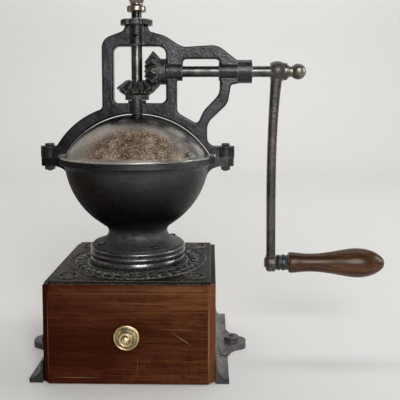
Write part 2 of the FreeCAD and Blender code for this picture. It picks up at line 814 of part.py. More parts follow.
def handle_grip():
    """Turned handle: a collar at the ferrule, a slim neck, a swell and an egg-shaped end."""
    start = ferrule[1]
    bore = pin_grip_r + running
    bore_end = pin_grip_end + 0.6

    def place(x, radius):
        return V(x, 0, handle_z + radius)

    curve = [(start + 2.2, collar_grip_r), (start + 13, neck_grip_r + 0.3), (start + 32, neck_grip_r)]
    curve += [(start + 54, 13.2), (swell_x, swell_r), (grip_end - 12.7, 12.9), (grip_end - 3.6, 7.5)]
    curve += [(grip_end, 0)]
    points = [place(*point) for point in curve]
    side = Part.BSplineCurve()
    side.interpolate(Points=points, InitialTangent=V(1, 0, 0), FinalTangent=V(0, 0, -1))
    ends = [(grip_end, 0), (bore_end, 0), (bore_end, bore), (start, bore), (start, collar_grip_r - 1.4)]
    ends += [(start + 0.6, collar_grip_r - 0.3), curve[0]]
    edges = Part.makePolygon([place(*point) for point in ends]).Edges
    face = Part.Face(Part.Wire(Part.__sortEdges__(edges + [side.toShape()])))
    return face.revolve(V(0, 0, handle_z), V(1, 0, 0), 360)


pieces = [base_casting, base_screws, box_left_wall, box_right_wall, box_back_wall, box_top_board,
          drawer_front, drawer_left_side, drawer_right_side, drawer_back, drawer_bottom, drawer_knob,
          knob_screw, top_plate, corner_screws, hopper_bowl, hopper_bolts, ring_burr, lid_front, lid_rear,
          lid_stud, bridge_frame, bridge_bolts, bridge_nuts, spindle_gear, gear_key, spindle, cone_burr,
          burr_nut, adjusting_wheel, finial, crank_shaft, drive_pinion, pinion_pin, crank_arm,
          crank_washer, crank_nut, handle_pin, handle_ferrule, handle_grip]

for make in pieces:
    shape = make()
    shape.exportStep("parts/" + make.__name__ + ".step")
    print(make.__name__, len(shape.Solids), "solid", round(shape.Volume), "mm3", "valid", shape.isValid())
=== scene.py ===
import math

import bmesh
import bpy
from mathutils import Matrix, Vector


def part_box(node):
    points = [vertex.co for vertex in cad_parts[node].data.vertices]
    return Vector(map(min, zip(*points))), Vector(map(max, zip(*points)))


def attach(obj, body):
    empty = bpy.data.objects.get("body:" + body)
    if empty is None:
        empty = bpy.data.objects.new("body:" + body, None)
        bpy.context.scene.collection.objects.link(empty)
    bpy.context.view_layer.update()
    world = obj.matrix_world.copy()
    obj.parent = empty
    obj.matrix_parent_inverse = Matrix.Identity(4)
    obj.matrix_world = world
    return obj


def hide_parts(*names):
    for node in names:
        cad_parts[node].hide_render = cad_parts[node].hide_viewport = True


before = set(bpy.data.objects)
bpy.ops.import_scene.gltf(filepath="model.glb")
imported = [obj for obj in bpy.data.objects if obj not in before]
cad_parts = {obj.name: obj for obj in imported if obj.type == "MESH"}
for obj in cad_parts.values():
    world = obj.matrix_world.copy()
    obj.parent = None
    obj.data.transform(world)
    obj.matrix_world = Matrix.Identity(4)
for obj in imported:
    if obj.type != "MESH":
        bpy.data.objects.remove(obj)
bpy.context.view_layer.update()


# Iron base: a shallow tray with flared skirts and a screw lug at each side, under the box.
# Sand cast grey iron with thin old black, rubbed to bare grey along its edges.
# It is painted darker at the left and across the front end as shade, and its screw holes are painted
# dark as their shade.
def new_material(name):
    material = bpy.data.materials.new(name)
    material.use_nodes = True
    return material


def add(material, kind, **settings):
    # Each setting is one of the node's own sockets or, if it has none of that name, a property.
    node = material.node_tree.nodes.new("ShaderNode" + kind)
    for name, value in settings.items():
        socket = name.replace("_", " ")
        if socket in node.inputs:
            node.inputs[socket].default_value = value
        else:
            setattr(node, name, value)
    return node


def join(material, start, end):
    material.node_tree.links.new(start, end)


def paint(material, **sockets):
    body = material.node_tree.nodes["Principled BSDF"]
    for name, value in sockets.items():
        socket = body.inputs[name.replace("_", " ")]
        if isinstance(value, bpy.types.NodeSocket):
            join(material, value, socket)
        else:
            socket.default_value = value


def surface(material, scale=(1, 1, 1), shift=(0, 0, 0)):
    coordinates = add(material, "TexCoord")
    mapping = add(material, "Mapping", Scale=scale, Location=shift)
    join(material, coordinates.outputs["Object"], mapping.inputs["Vector"])
    return mapping.outputs["Vector"]


def noise(material, vector, scale=1.0, detail=4.0, rough=0.55, swirl=0.0):
    node = add(material, "TexNoise", Scale=scale, Detail=detail, Roughness=rough, Distortion=swirl)
    join(material, vector, node.inputs["Vector"])
    return node.outputs["Fac"]


def opaque(tone):
    return (*tone, 1) if isinstance(tone, tuple) else (tone, tone, tone, 1)


def ramp(material, factor, *stops):
    node = add(material, "ValToRGB")
    marks = node.color_ramp.elements
    while len(marks) < len(stops):
        marks.new(0.5)
    for mark, (position, tone) in zip(marks, stops):
        mark.position = position
        mark.color = opaque(tone)
    join(material, factor, node.inputs["Fac"])
    return node.outputs["Color"]


def mix(material, factor, first, second, blend="MIX"):
    node = add(material, "MixRGB", blend_type=blend)
    for name, value in (("Fac", factor), ("Color1", first), ("Color2", second)):
        if isinstance(value, bpy.types.NodeSocket):
            join(material, value, node.inputs[name])
        else:
            node.inputs[name].default_value = value if name == "Fac" else opaque(value)
    return node.outputs["Color"]


def both(material, first, second):
    # White only where both masks are white.
    return mix(material, 1.0, first, second, "MULTIPLY")


def lay(material, mask, finish, socket="Base Color"):
    # Lays a finish over what the socket already shows, where the mask is white.
    shown = material.node_tree.nodes["Principled BSDF"].inputs[socket]
    join(material, mix(material, mask, shown.links[0].from_socket, finish), shown)


def relief(material, height, distance, strength, over=None):
    node = add(material, "Bump", Distance=distance, Strength=strength)
    join(material, height, node.inputs["Height"])
    if over is not None:
        join(material, over, node.inputs["Normal"])
    return node.outputs["Normal"]


def along(material, axis, start, end, *stops):
    # A mask that changes from start to end along one axis of the piece.
    parts = add(material, "SeparateXYZ")
    join(material, surface(material), parts.inputs["Vector"])
    node = add(material, "MapRange", From_Min=start, From_Max=end)
    join(material, parts.outputs[axis], node.inputs["Value"])
    return ramp(material, node.outputs["Result"], *stops) if stops else node.outputs["Result"]


def around(material, spot, stretch, *stops):
    # A mask that changes with the distance from a spot.
    away = add(material, "VectorMath", operation="DISTANCE")
    join(material, surface(material, stretch), away.inputs[0])
    away.inputs[1].default_value = tuple(place * size for place, size in zip(spot, stretch))
    return ramp(material, away.outputs["Value"], *stops)


def edges(material, radius):
    # White along the outer edges, where a rounded normal leans away from the true one.
    rounded = add(material, "Bevel", samples=4, Radius=radius)
    true = add(material, "NewGeometry")
    dot = add(material, "VectorMath", operation="DOT_PRODUCT")
    join(material, rounded.outputs["Normal"], dot.inputs[0])
    join(material, true.outputs["Normal"], dot.inputs[1])
    return ramp(material, dot.outputs["Value"], (0.72, 1.0), (0.97, 0.0))


def cast_iron(name, dark, pale, patina, worn, rough, patina_start=0.56, grain=0.6, wear=0.6, gloss=0.5):
    material = new_material(name)
    clouds = noise(material, surface(material), scale=38, detail=6, rough=0.65)
    stains = noise(material, surface(material, shift=(0.3, 0.1, 0.2)), scale=14, detail=7, rough=0.66,
                   swirl=0.5)
    sand = noise(material, surface(material), scale=430, detail=3, rough=0.6)
    smooth, dull = rough
    shine = mix(material, 0.5, ramp(material, stains, (0.3, smooth), (0.75, dull)),
                ramp(material, sand, (0.35, dull), (0.65, smooth)))
    lumps = relief(material, clouds, distance=0.0022, strength=0.6)
    paint(material, Base_Color=ramp(material, clouds, (0.36, dark), (0.64, pale)), Metallic=0.3,
          Roughness=shine, Specular_IOR_Level=gloss,
          Normal=relief(material, sand, distance=0.0007, strength=grain, over=lumps))
    lay(material, ramp(material, stains, (patina_start, 0.0), (0.74, 0.85)), patina)
    pits = tuple(0.3 * part for part in dark)
    lay(material, ramp(material, sand, (0.36, 0.8), (0.52, 0.0)), pits)
    rubbed = both(material, edges(material, radius=0.002),
                  ramp(material, sand, (0.35, 0.0), (0.6, wear)))
    lay(material, rubbed, worn)
    return material


def dress(material, *names):
    # Gives a finish to nodes of the frame.
    for name in names:
        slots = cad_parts[name].data.materials
        slots.clear()
        slots.append(material)


base_iron = cast_iron("base_iron", dark=(0.016, 0.016, 0.0155), pale=(0.3, 0.296, 0.28),
                      patina=(0.02, 0.015, 0.011), worn=(0.5, 0.49, 0.46), rough=(0.28, 0.5),
                      patina_start=0.6, wear=0.9)
# Painted shade: the left side is darkened, as it is turned from the light.
shaded_left_side = along(base_iron, "X", -0.105, 0.0, (0.0, 0.8), (1.0, 0.0))
lay(base_iron, shaded_left_side, (0.01, 0.0095, 0.009))
right_lug = along(base_iron, "X", 0.092, 0.1, (0.0, 0.0), (1.0, 0.55))
lay(base_iron, right_lug, (0.022, 0.021, 0.02))
# Painted shade: the front end is darkened as if in shadow.
shaded_front_end = along(base_iron, "Y", -0.084, -0.072, (0.0, 0.85), (0.6, 0.75), (1.0, 0.0))
lay(base_iron, shaded_front_end, (0.012, 0.012, 0.0125))
hole_x, hole_y, hole_r, hole_rim_r = 0.1045, 0.009, 0.0028, 0.0036
# Painted shade: each screw hole is painted dark for the shade inside it.
for side in (-hole_x, hole_x):
    screw_hole_shade = around(base_iron, (side, hole_y, 0), (1, 1, 0), (hole_r, 1.0), (hole_rim_r, 0.0))
    lay(base_iron, screw_hole_shade, (0.003, 0.003, 0.003))
dress(base_iron, "base_casting")


# Wooden box: two side walls and a back, nailed up from stained hardwood planks.
# The side planks have their grain from front to back, the back plank from side to side.
# The side walls are painted darker just under the iron plate, as its shade.
def plank(name, dark, middle, pale, gloss, run="X", coat=0.0, open_grain=0.8):
    material = new_material(name)

    def lengthwise(long, across):
        return surface(material, (long, across, across) if run == "X" else (across, long, across))

    figure = noise(material, lengthwise(3, 90), detail=5, rough=0.62, swirl=0.25)
    fibre = noise(material, lengthwise(14, 420), rough=0.62, swirl=0.15)
    pores = noise(material, lengthwise(80, 700), detail=2)
    patches = noise(material, surface(material), scale=9, detail=3)
    furrows = relief(material, fibre, distance=0.0004, strength=0.4)
    paint(material, Base_Color=ramp(material, figure, (0.34, dark), (0.5, middle), (0.68, pale)),
          Roughness=ramp(material, patches, (0.3, gloss), (0.7, gloss + 0.14)), Specular_IOR_Level=0.05,
          Specular_Tint=(1.0, 0.62, 0.42, 1), Coat_Weight=coat, Coat_Roughness=0.25,
          Normal=relief(material, pores, distance=0.0003, strength=0.4, over=furrows))
    lay(material, ramp(material, fibre, (0.38, 0.75), (0.56, 0.0)), dark)
    pore_tone = tuple(0.3 * part for part in dark)
    lay(material, ramp(material, pores, (0.36, open_grain), (0.48, 0.0)), pore_tone)
    lay(material, ramp(material, patches, (0.35, 0.5), (0.62, 0.0)), dark)
    worn = both(material, edges(material, radius=0.0016),
                ramp(material, figure, (0.4, 0.1), (0.6, 0.7)))
    worn_tone = tuple(min(1.0, 1.7 * part) for part in pale)
    lay(material, worn, worn_tone)
    return material


stain = (0.032, 0.0066, 0.0025), (0.078, 0.0215, 0.007), (0.128, 0.043, 0.0145)
side_wood = plank("side_wood", *stain, gloss=0.4, run="Y")
# Painted shade along the top of the side walls, under the plate's edge.
shade_under_plate = along(side_wood, "Z", 0.094, 0.0988, (0.0, 0.0), (0.85, 0.5), (1.0, 1.0))
lay(side_wood, shade_under_plate, (0.012, 0.009, 0.007))
dress(side_wood, "box_left_wall", "box_right_wall")
dress(plank("back_wood", *stain, gloss=0.4), "box_back_wall")


# Drawer tray, and the box's top board over it: plain planks, never stained, pale inside.
# The tray runs on the iron base, and the front is screwed to it.
bare = (0.17, 0.085, 0.036), (0.31, 0.175, 0.082), (0.42, 0.26, 0.135)
dress(plank("tray_side_wood", *bare, gloss=0.55, run="Y"), "drawer_left_side", "drawer_right_side")
dress(plank("tray_wood", *bare, gloss=0.55), "drawer_back", "drawer_bottom", "box_top_board")


# Drawer front: one thick board, bevelled at the left, right and top, its corners softened by use.
# Dark stained hardwood, painted darker and redder low on the left as shade, and lighter at the upper
# right as a painted sheen.
# The low right corner is scuffed, and a few pale scratches cross the face; the pale lines along the
# bevels are part wear and part painted highlight.
def keep(name, shape, material, body, slot, *nodes, crease=35):
    # Makes a finished piece of a shape; it rides on a body and may stand for nodes of the frame.
    bmesh.ops.remove_doubles(shape, verts=shape.verts[:], dist=1e-6)
    bmesh.ops.recalc_face_normals(shape, faces=shape.faces[:])
    mesh = bpy.data.meshes.new(name)
    shape.to_mesh(mesh)
    shape.free()
    mesh.materials.append(material)
    mesh.shade_smooth()
    mesh.set_sharp_from_angle(angle=math.radians(crease))
    made = bpy.data.objects.new(name, mesh)
    bpy.context.scene.collection.objects.link(made)
    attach(made, body)
    if nodes:
        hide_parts(*nodes)


def block(low, high):
    shape = bmesh.new()
    bmesh.ops.create_cube(shape, size=1)
    bmesh.ops.scale(shape, verts=shape.verts[:], vec=Vector(high) - Vector(low))
    bmesh.ops.translate(shape, verts=shape.verts[:], vec=(Vector(high) + Vector(low)) / 2)
    return shape


def soften(shape, width, segments=3, sharp=20):
    crisp = [edge for edge in shape.edges if edge.calc_face_angle(0) > math.radians(sharp)]
    bmesh.ops.bevel(shape, geom=crisp, offset=width, segments=segments, profile=0.5, affect="EDGES",
                    material=-1)


def scratch(material, middle, fall, length, width, depth):
    # A long thin oval on the face of the board; middle is its x and z, fall its slope in degrees.
    x, z = middle
    any_depth = 9
    place = add(material, "Mapping", vector_type="TEXTURE", Location=(x, 0, z),
                Rotation=(0, math.radians(fall), 0), Scale=(length / 2, any_depth, width / 2))
    join(material, add(material, "TexCoord").outputs["Object"], place.inputs["Vector"])
    reach = add(material, "VectorMath", operation="LENGTH")
    join(material, place.outputs["Vector"], reach.inputs[0])
    return ramp(material, reach.outputs["Value"], (0.4, depth), (1.0, 0.0))


front_low, front_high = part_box("drawer_front")
front_middle = (front_low + front_high) / 2
side_bevel, top_bevel, bevel_deep, worn_edge = 0.0068, 0.007, 0.0054, 0.0008
panel = block(front_low, front_high)
face = [side for side in panel.faces if side.normal.y < -0.9]
bmesh.ops.inset_region(panel, faces=face, thickness=side_bevel, use_even_offset=True)
raised = set(face[0].verts)
for corner in panel.verts:
    if corner in raised:
        corner.co.z = front_low.z if corner.co.z < front_middle.z else front_high.z - top_bevel
    elif corner.co.y < front_middle.y:
        corner.co.y += bevel_deep
soften(panel, worn_edge)

front_wood = plank("front_wood", *stain, gloss=0.36, coat=0.01)
# Painted shade: low on the left the board is darkened and reddened, and its gloss is cut there too.
shaded_low_left = both(front_wood, along(front_wood, "X", -0.09, 0.07, (0.0, 0.95), (0.5, 0.75), (1.0, 0.15)),
                along(front_wood, "Z", 0.0, 0.098, (0.1, 0.5), (0.4, 1.0), (0.9, 0.35)))
lay(front_wood, shaded_low_left, (0.018, 0.0024, 0.001))
# Painted sheen: lighter streaks at the upper right stand for light on the board.
upper_right = both(front_wood, along(front_wood, "X", -0.09, 0.09, (0.0, 0.0), (1.0, 0.6)),
                   along(front_wood, "Z", 0.045, 0.1, (0.0, 0.2), (1.0, 1.0)))
streaks = noise(front_wood, surface(front_wood, (9, 260, 260)), rough=0.6, swirl=0.15)
painted_sheen = both(front_wood, upper_right, ramp(front_wood, streaks, (0.36, 0.25), (0.6, 1.0)))
lay(front_wood, painted_sheen, (0.19, 0.078, 0.03))
blotches = noise(front_wood, surface(front_wood, (30, 30, 55), shift=(0.2, 0.3, 0.1)),
                 detail=6, rough=0.65, swirl=0.6)
lay(front_wood, ramp(front_wood, blotches, (0.36, 0.6), (0.56, 0.0)), (0.026, 0.0045, 0.0016))
low_right = both(front_wood, along(front_wood, "X", -0.03, 0.06, (0.0, 0.0), (1.0, 1.0)),
                 along(front_wood, "Z", 0.0, 0.06, (0.0, 1.0), (1.0, 0.0)))
scuffs = noise(front_wood, surface(front_wood, (520, 1, 60)), rough=0.65)
scuffed = both(front_wood, low_right, ramp(front_wood, scuffs, (0.5, 0.0), (0.74, 0.24)))
lay(front_wood, scuffed, (0.2, 0.115, 0.075))
# Painted shade on the left bevel, which faces away from the light.
shaded_left_bevel = along(front_wood, "X", -0.0795, -0.0775, (0.0, 0.9), (1.0, 0.0))
lay(front_wood, shaded_left_bevel, (0.016, 0.002, 0.001))
# Painted light on the right bevel, which faces the light.
lit_right_bevel = along(front_wood, "X", 0.0775, 0.0795, (0.0, 0.0), (1.0, 0.5))
lay(front_wood, lit_right_bevel, (0.13, 0.05, 0.019))
for middle, fall, length, width, depth in (
        ((0.054, 0.046), 34, 0.026, 0.0012, 0.5),
        ((0.046, 0.0566), 1, 0.044, 0.0011, 0.25),
        ((0.009, 0.0195), 90, 0.026, 0.001, 0.2),
        ((-0.05, 0.0075), 0, 0.05, 0.0012, 0.4),
        ((0.02, 0.082), 2, 0.07, 0.0012, 0.2),
        # These three lines follow the bevel edges: worn edges and painted highlight in one.
        ((-0.0793, 0.045), 90, 0.094, 0.0013, 0.35),
        ((0.0793, 0.045), 90, 0.094, 0.0013, 0.5),
        ((0, 0.0921), 0, 0.17, 0.0012, 0.22)):
    lay(front_wood, scratch(front_wood, middle, fall, length, width, depth), (0.3, 0.17, 0.11))
paint(front_wood, Specular_IOR_Level=ramp(front_wood, shaded_low_left, (0.2, 0.05), (0.9, 0.0)))
keep("drawer_front_board", panel, front_wood, "drawer", "box_wood", "drawer_front")


# Drawer knob: turned from brass, a rolled rim round a face that rises in steps to a small bead.
# A screw from inside the drawer holds it; handling keeps the high rings bright, and the grooves are
# darkened with tarnish and painted shade.
def turned(profile, axis, centre, side, rounding=0.0, steps=96):
    # The profile is pairs of height along the axis and radius; it and the rounding are in millimetres.
    shape = bmesh.new()
    axis, centre, side = Vector(axis), Vector(centre), Vector(side)
    corners = [shape.verts.new(centre + (axis * run + side * radius) / 1000) for run, radius in profile]
    for first, second in zip(corners, corners[1:]):
        shape.edges.new((first, second))
    if rounding:
        bmesh.ops.bevel(shape, geom=corners[1:-1], offset=rounding / 1000, segments=3, profile=0.5,
                        affect="VERTICES", material=-1)
    bmesh.ops.spin(shape, geom=shape.verts[:] + shape.edges[:], cent=centre, axis=axis,
                   angle=math.radians(360), steps=steps, use_merge=True)
    return shape


def bright_metal(name, dark, pale, tarnish, rough, tarnish_start=0.55):
    material = new_material(name)
    clouds = noise(material, surface(material), scale=90, detail=5, rough=0.6)
    stains = noise(material, surface(material, shift=(0.2, 0.4, 0.1)), scale=55, detail=6, rough=0.68,
                   swirl=0.4)
    specks = noise(material, surface(material), scale=700, detail=2)
    polished, dull = rough
    paint(material, Base_Color=ramp(material, clouds, (0.35, dark), (0.65, pale)), Metallic=1.0,
          Roughness=ramp(material, stains, (0.35, polished), (0.7, dull)),
          Normal=relief(material, specks, distance=0.0002, strength=0.2))
    lay(material, ramp(material, stains, (tarnish_start, 0.0), (0.75, 0.85)), tarnish)
    lay(material, ramp(material, specks, (0.62, 0.0), (0.7, 0.5)), tarnish)
    return material


knob_brass = bright_metal("knob_brass", dark=(0.48, 0.375, 0.19), pale=(0.74, 0.615, 0.37),
                          tarnish=(0.15, 0.095, 0.035), rough=(0.27, 0.44))
knob_z, one_over_rim_r = 0.053, 80
# The dark rings in the grooves are tarnish and painted shade together.
groove_tarnish_and_shade = around(knob_brass, (0, 0, knob_z), (one_over_rim_r, 0, one_over_rim_r),
                 (0.24, 0.0), (0.33, 0.75), (0.4, 0.0),
                 (0.5, 0.0), (0.56, 0.7), (0.66, 0.15),
                 (0.78, 0.25), (0.84, 0.8), (0.9, 0.0))
lay(knob_brass, groove_tarnish_and_shade, (0.085, 0.05, 0.018))
foot_and_neck = [(0, 0), (0, 7.5), (1.6, 7.5), (2.4, 6.2), (3.2, 5.0), (8.0, 5.0), (9.4, 8.2)]
rolled_rim = [(10.2, 11.4), (11.2, 12.4), (12.6, 12.5), (13.4, 11.9), (13.6, 11.1), (13.3, 10.7)]
stepped_face = [(13.6, 10.2), (15.2, 8.8), (16.6, 7.2), (17.4, 6.9), (18.1, 6.5), (18.1, 5.7)]
bead = [(17.5, 5.3), (17.6, 4.6), (18.8, 4.2), (20.2, 3.2), (21.0, 1.4), (21.0, 0)]
knob = turned(foot_and_neck + rolled_rim + stepped_face + bead, axis=(0, -1, 0),
              centre=(0, front_low.y, knob_z), side=(1, 0, 0), rounding=0.22)
keep("turned_knob", knob, knob_brass, "drawer", "brass", "drawer_knob", crease=50)
screw_steel = bright_metal("screw_steel", dark=(0.14, 0.135, 0.13), pale=(0.26, 0.25, 0.24),
                           tarnish=(0.07, 0.05, 0.035), rough=(0.34, 0.55))
dress(screw_steel, "knob_screw", "base_screws", "burr_nut", "gear_key", "pinion_pin")


# Top plate: a flat iron plate screwed to the box, with a banded collar in the middle under the hopper.
# A leaf wreath is cast round the collar, between a small ring and a large raised one.
# The flat is black and dusty at the left, the wreath and the collar's three bands are rubbed bright.
def turn(shape, part, degrees):
    bmesh.ops.rotate(shape, verts=part, cent=(0, 0, 0),
                     matrix=Matrix.Rotation(math.radians(degrees), 3, "Z"))


def upright(profile, x, z, rounding=0.0, steps=144):
    return turned(profile, (0, 0, 1), (x, 0, z), (1, 0, 0), rounding, steps)


plate_iron = cast_iron("plate_iron", dark=(0.006, 0.005, 0.0042), pale=(0.03, 0.025, 0.021),
                       patina=(0.025, 0.015, 0.009), worn=(0.4, 0.36, 0.31), rough=(0.4, 0.6),
                       grain=0.9, wear=0.95, gloss=0.1)
dust_left = both(plate_iron, along(plate_iron, "X", -0.085, -0.02, (0.0, 0.7), (1.0, 0.0)),
                 along(plate_iron, "Y", -0.08, -0.05, (0.0, 0.0), (1.0, 1.0)))
lay(plate_iron, dust_left, (0.052, 0.039, 0.03))
near_edge = along(plate_iron, "Y", -0.083, -0.055, (0.0, 0.6), (1.0, 0.0))
lay(plate_iron, near_edge, (0.006, 0.0052, 0.0046))
up_collar = along(plate_iron, "Z", 0.1045, 0.107)
lay(plate_iron, up_collar, (0.022, 0.0225, 0.0235))
lay(plate_iron, up_collar, 0.25, "Roughness")
dress(plate_iron, "top_plate")

wreath_iron = cast_iron("wreath_iron", dark=(0.012, 0.011, 0.01), pale=(0.075, 0.069, 0.062),
                        patina=(0.03, 0.019, 0.012), worn=(0.46, 0.43, 0.39), rough=(0.24, 0.42),
                        patina_start=0.6, grain=0.5, wear=1.0, gloss=0.6)
plate_top, wreath_r, inner_ring_r = 0.1027, 63.7, 55.2
leaf_pairs, leaf_half = 36, (0.0054, 0.0023, 0.0021)
leaf_out, leaf_apart, leaf_slant = 0.0044, 0.0006, 40
wreath = bmesh.new()
for pair in range(leaf_pairs):
    for lean in (-1, 1):
        leaf = bmesh.ops.create_uvsphere(wreath, u_segments=10, v_segments=6, radius=1)["verts"]
        bmesh.ops.scale(wreath, verts=leaf, vec=leaf_half)
        bmesh.ops.translate(wreath, verts=leaf, vec=(leaf_out, 0, 0))
        turn(wreath, leaf, 90 + leaf_slant * lean)
        bmesh.ops.translate(wreath, verts=leaf, vec=(wreath_r / 1000 + leaf_apart * lean, 0, plate_top))
        turn(wreath, leaf, 360 / leaf_pairs * pair)
keep("leaf_wreath", wreath, wreath_iron, "mill", "black_iron")
ring_sunk, ring_high, foot_half, top_half = -0.3, 0.45, 0.9, 0.5
for name, ring_r in (("wreath_stem", wreath_r), ("wreath_inner_ring", inner_ring_r)):
    ring = [(ring_sunk, ring_r - foot_half), (ring_high, ring_r - top_half),
            (ring_high, ring_r + top_half), (ring_sunk, ring_r + foot_half)]
    keep(name, upright(ring, 0, plate_top, rounding=0.25), wreath_iron, "mill", "black_iron")

collar_iron = cast_iron("collar_iron", dark=(0.014, 0.0145, 0.0155), pale=(0.085, 0.0895, 0.0945),
                        patina=(0.03, 0.023, 0.017), worn=(0.3, 0.3, 0.3), rough=(0.2, 0.38),
                        patina_start=0.66, grain=0.12, gloss=1.0)
paint(collar_iron, Coat_Weight=0.8, Coat_Roughness=0.16)
band_r, band_bulge, band_steps = 51.2, 1.25, 8
for count, (band_low, band_high) in enumerate(((1.0, 8.6), (9.8, 14.0), (15.2, 19.3))):
    rise = (band_high - band_low) / band_steps
    bulge = [(band_low + rise * step, band_r + band_bulge * math.sin(math.pi * step / band_steps))
             for step in range(band_steps + 1)]
    keep("collar_band_%d" % count, upright(bulge, 0, plate_top), collar_iron, "mill", "black_iron")


# Corner screws of the plate and the four bolts of the hopper's foot, all as black as the plate.
# Turned screws with sawn slots in countersunk seats; the bolts have small square heads, worn round.
def gather(whole, part):
    # Adds a part to a shape made of several.
    loose = bpy.data.meshes.new("part")
    part.to_mesh(loose)
    part.free()
    whole.from_mesh(loose)
    bpy.data.meshes.remove(loose)


dress(plate_iron, "corner_screws")
head_half, head_high, head_round = 0.0029, 0.0034, 0.0006
bolt_ring_r, first_bolt, head_turn = 0.043, 31, 20
bolt_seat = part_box("hopper_bolts")[1].z - head_high
heads = bmesh.new()
for count in range(4):
    head = block((-head_half, -head_half, bolt_seat), (head_half, head_half, bolt_seat + head_high))
    soften(head, head_round, segments=2)
    turn(head, head.verts[:], head_turn * count)
    bmesh.ops.translate(head, verts=head.verts[:], vec=(bolt_ring_r, 0, 0))
    turn(head, head.verts[:], first_bolt + 90 * count)
    gather(heads, head)
keep("hopper_bolt_heads", heads, plate_iron, "mill", "dark_steel", "hopper_bolts")


# Hopper: one casting, a round bowl on a waisted neck with a flat rim and two eared lugs.
# Black iron, smoother than the bridge, painted with warm shade and reflection at the left and with
# shade below.
# A painted blue grey sheen lies under the rim in front, and grey dust on the foot.
bowl_iron = cast_iron("bowl_iron", dark=(0.0035, 0.0033, 0.0032), pale=(0.0125, 0.0124, 0.0124),
                      patina=(0.016, 0.0095, 0.006), worn=(0.1, 0.1, 0.1), rough=(0.22, 0.56),
                      patina_start=0.6, grain=0.5, wear=0.7)
# Painted warm shade and reflection darken the left of the bowl.
warm_left_shade = both(bowl_iron, along(bowl_iron, "X", -0.088, -0.02, (0.0, 0.95), (0.5, 0.85), (1.0, 0.0)),
               along(bowl_iron, "Z", 0.2, 0.208, (0.0, 1.0), (1.0, 0.0)))
lay(bowl_iron, warm_left_shade, (0.009, 0.0029, 0.0013))
# Painted shade darkens the lower bowl, which turns away from the light.
shade_below = along(bowl_iron, "Z", 0.145, 0.2, (0.0, 0.9), (1.0, 0.0))
lay(bowl_iron, shade_below, (0.001, 0.001, 0.0012))
wisps = noise(bowl_iron, surface(bowl_iron, (40, 40, 160)), detail=5, rough=0.6)
# Painted sheen: a blue grey reflection under the rim in front.
under_rim = around(bowl_iron, (0.014, -0.08, 0.205), (0.65, 1, 3), (0.002, 1.0), (0.044, 0.0))
painted_sheen_under_rim = both(bowl_iron, under_rim, ramp(bowl_iron, wisps, (0.3, 0.2), (0.65, 0.9)))
lay(bowl_iron, painted_sheen_under_rim, (0.036, 0.041, 0.045))
dusty = along(bowl_iron, "Z", 0.122, 0.152, (0.4, 1.0), (0.85, 0.0))
dust_grains = noise(bowl_iron, surface(bowl_iron), scale=300, detail=5, rough=0.7)
dust = ramp(bowl_iron, dust_grains, (0.35, (0.012, 0.0125, 0.013)), (0.65, (0.044, 0.0465, 0.0485)))
lay(bowl_iron, dusty, dust)
lay(bowl_iron, dusty, 0.46, "Roughness")
shiny = both(bowl_iron, along(bowl_iron, "X", -0.088, 0.03, (0.0, 0.0), (0.45, 0.06), (1.0, 0.5)),
             along(bowl_iron, "Z", 0.122, 0.21, (0.0, 1.0), (0.28, 0.8), (0.38, 0.05), (0.6, 0.2),
                   (1.0, 1.0)))
paint(bowl_iron, Metallic=0.0, Specular_IOR_Level=shiny)
dress(bowl_iron, "hopper_bowl")


# Burrs: a fluted cone on the spindle inside a fluted ring pressed into the throat.
# Hardened steel, dark with oil and coffee.
burr_steel = bright_metal("burr_steel", dark=(0.1, 0.095, 0.09), pale=(0.2, 0.19, 0.18),
                          tarnish=(0.05, 0.032, 0.02), rough=(0.4, 0.6))
dress(burr_steel, "ring_burr", "cone_burr")


# Lid: two pressed sheets of tinned steel; the front one slides round under the rear one on the rim.
# The tin is worn grey at the sides, painted dark at the top as the arch's shade and reflection, and
# rubbed along the rim.
# Brown rust pits the middle of the front sheet, which has a small steel stud for the finger.
tin = new_material("worn_tin")
tin_clouds = noise(tin, surface(tin), scale=30, detail=5, rough=0.6)
tin_specks = noise(tin, surface(tin), scale=950, rough=0.72)
tin_blotch = noise(tin, surface(tin, shift=(0.1, 0.2, 0.3)), scale=60, detail=6, rough=0.7)
paint(tin, Base_Color=ramp(tin, tin_clouds, (0.36, (0.32, 0.308, 0.282)), (0.64, (0.72, 0.705, 0.665))))
lay(tin, ramp(tin, tin_specks, (0.58, 0.0), (0.68, 0.75)), (0.06, 0.042, 0.027))
# Painted shade and reflection of the arch darken the top of the dome.
top_patch = around(tin, (0, 0, 0.266), (0.7, 1, 1), (0.02, 1.0), (0.07, 0.0))
arch_shade = ramp(tin, mix(tin, 0.4, top_patch, tin_blotch), (0.4, 0.0), (0.58, 0.95))
lay(tin, arch_shade, (0.03, 0.0275, 0.025))
dulled = both(tin, along(tin, "X", 0.01, 0.08, (0.0, 0.0), (0.6, 0.8), (1.0, 0.5)),
              ramp(tin, tin_blotch, (0.42, 1.0), (0.56, 0.0)))
lay(tin, dulled, (0.13, 0.122, 0.11))
front_patch = around(tin, (0.002, -0.07, 0.235), (0.56, 1, 1.2), (0.012, 1.0), (0.066, 0.0))
rust_spread = ramp(tin, mix(tin, 0.42, front_patch, tin_blotch), (0.34, 0.0), (0.66, 1.0))
rubbed_rim = along(tin, "Z", 0.2185, 0.223, (0.0, 0.9), (0.5, 0.6), (1.0, 0.0))
rust = mix(tin, rubbed_rim, rust_spread, 0.0)
rust_tone = ramp(tin, mix(tin, 0.35, tin_specks, tin_blotch), (0.44, (0.02, 0.0105, 0.0055)),
                 (0.5, (0.1, 0.058, 0.033)), (0.565, (0.41, 0.33, 0.24)))
lay(tin, rust, rust_tone)
paint(tin, Metallic=ramp(tin, rust, (0.0, 0.95), (1.0, 0.3)),
      Roughness=ramp(tin, rust, (0.0, 0.17), (1.0, 0.5)),
      Normal=relief(tin, tin_specks, distance=0.0004, strength=0.3))
